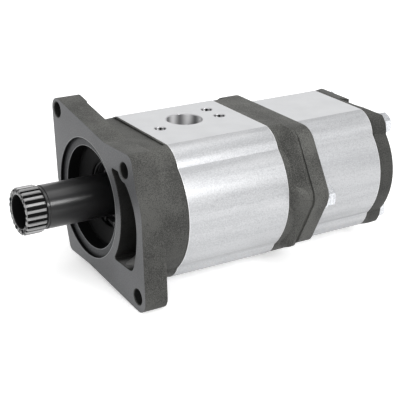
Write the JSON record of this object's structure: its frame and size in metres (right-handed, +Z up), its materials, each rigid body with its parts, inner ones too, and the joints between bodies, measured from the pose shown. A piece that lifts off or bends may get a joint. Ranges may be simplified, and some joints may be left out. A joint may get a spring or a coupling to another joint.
{
  "type": "tandem external gear pump",
  "caption": "Tandem gear pump with a splined hollow drive sleeve, square mounting flange, two aluminium bodies and cast covers.",
  "frame": {"origin": "drive axis at the mounting face", "axes": "+X from the mounting face along the shafts to the rear, -Y towards the driven gears, +Z up through the inlet port"},
  "size_m": [0.2989, 0.1594, 0.1268],
  "materials": {
    "cast_iron": "rough sand cast, machined joint faces",
    "body_aluminium": "drawn extrusion, satin",
    "block_aluminium": "machined",
    "sleeve_steel": "black oxide, turned",
    "gear_steel": "ground",
    "zinc_fasteners": "bright zinc",
    "screw_steel": "black oxide",
    "dark_steel": "hardened",
    "bush_bronze": "bored",
    "seal_rubber": "moulded"
  },
  "bodies": {
    "housing": {"casting_dowels": "dark_steel", "cover_dowels": "dark_steel", "ear_bolts": "zinc_fasteners", "ear_washers": "zinc_fasteners", "end_cover": "cast_iron", "end_cover_dowels": "dark_steel", "flange_dowels": "dark_steel", "flange_seal": "seal_rubber", "front_body": "body_aluminium", "front_body_screws": "screw_steel", "front_body_seal_front": "seal_rubber", "front_body_seal_rear": "seal_rubber", "front_cover": "cast_iron", "front_pump_front_block": "block_aluminium", "front_pump_front_block_seal": "seal_rubber", "front_pump_front_drive_bush": "bush_bronze", "front_pump_front_driven_bush": "bush_bronze", "front_pump_rear_block": "block_aluminium", "front_pump_rear_block_seal": "seal_rubber", "front_pump_rear_drive_bush": "bush_bronze", "front_pump_rear_driven_bush": "bush_bronze", "intermediate_cover": "cast_iron", "rear_body": "body_aluminium", "rear_body_seal_front": "seal_rubber", "rear_body_seal_rear": "seal_rubber", "rear_bolts": "zinc_fasteners", "rear_flange": "cast_iron", "rear_pump_front_block": "block_aluminium", "rear_pump_front_block_seal": "seal_rubber", "rear_pump_front_drive_bush": "bush_bronze", "rear_pump_front_driven_bush": "bush_bronze", "rear_pump_rear_block": "block_aluminium", "rear_pump_rear_block_seal": "seal_rubber", "rear_pump_rear_drive_bush": "bush_bronze", "rear_pump_rear_driven_bush": "bush_bronze", "rear_washers": "zinc_fasteners", "seal_circlip": "dark_steel", "shaft_seal": "seal_rubber", "sleeve_bush": "bush_bronze"},
    "drive_line": {"drive_sleeve": "sleeve_steel", "front_drive_gear": "gear_steel", "coupling": "gear_steel", "rear_drive_gear": "gear_steel"},
    "front_driven": {"front_driven_gear": "gear_steel"},
    "rear_driven": {"rear_driven_gear": "gear_steel"}
  },
  "joints": [
    {"name": "drive_spin", "type": "hinge", "parent": "housing", "child": "drive_line", "pos_m": [0, 0, 0], "axis": [1, 0, 0], "continuous": true},
    {"name": "front_driven_spin", "type": "hinge", "parent": "housing", "child": "front_driven", "pos_m": [0.08165, -0.039, 0], "axis": [1, 0, 0], "continuous": true},
    {"name": "rear_driven_spin", "type": "hinge", "parent": "housing", "child": "rear_driven", "pos_m": [0.187, -0.039, 0], "axis": [1, 0, 0], "continuous": true}
  ],
  "couplings": [
    {"joint": "front_driven_spin", "follows": "drive_spin", "ratio": -1},
    {"joint": "rear_driven_spin", "follows": "drive_spin", "ratio": -1}
  ]
}
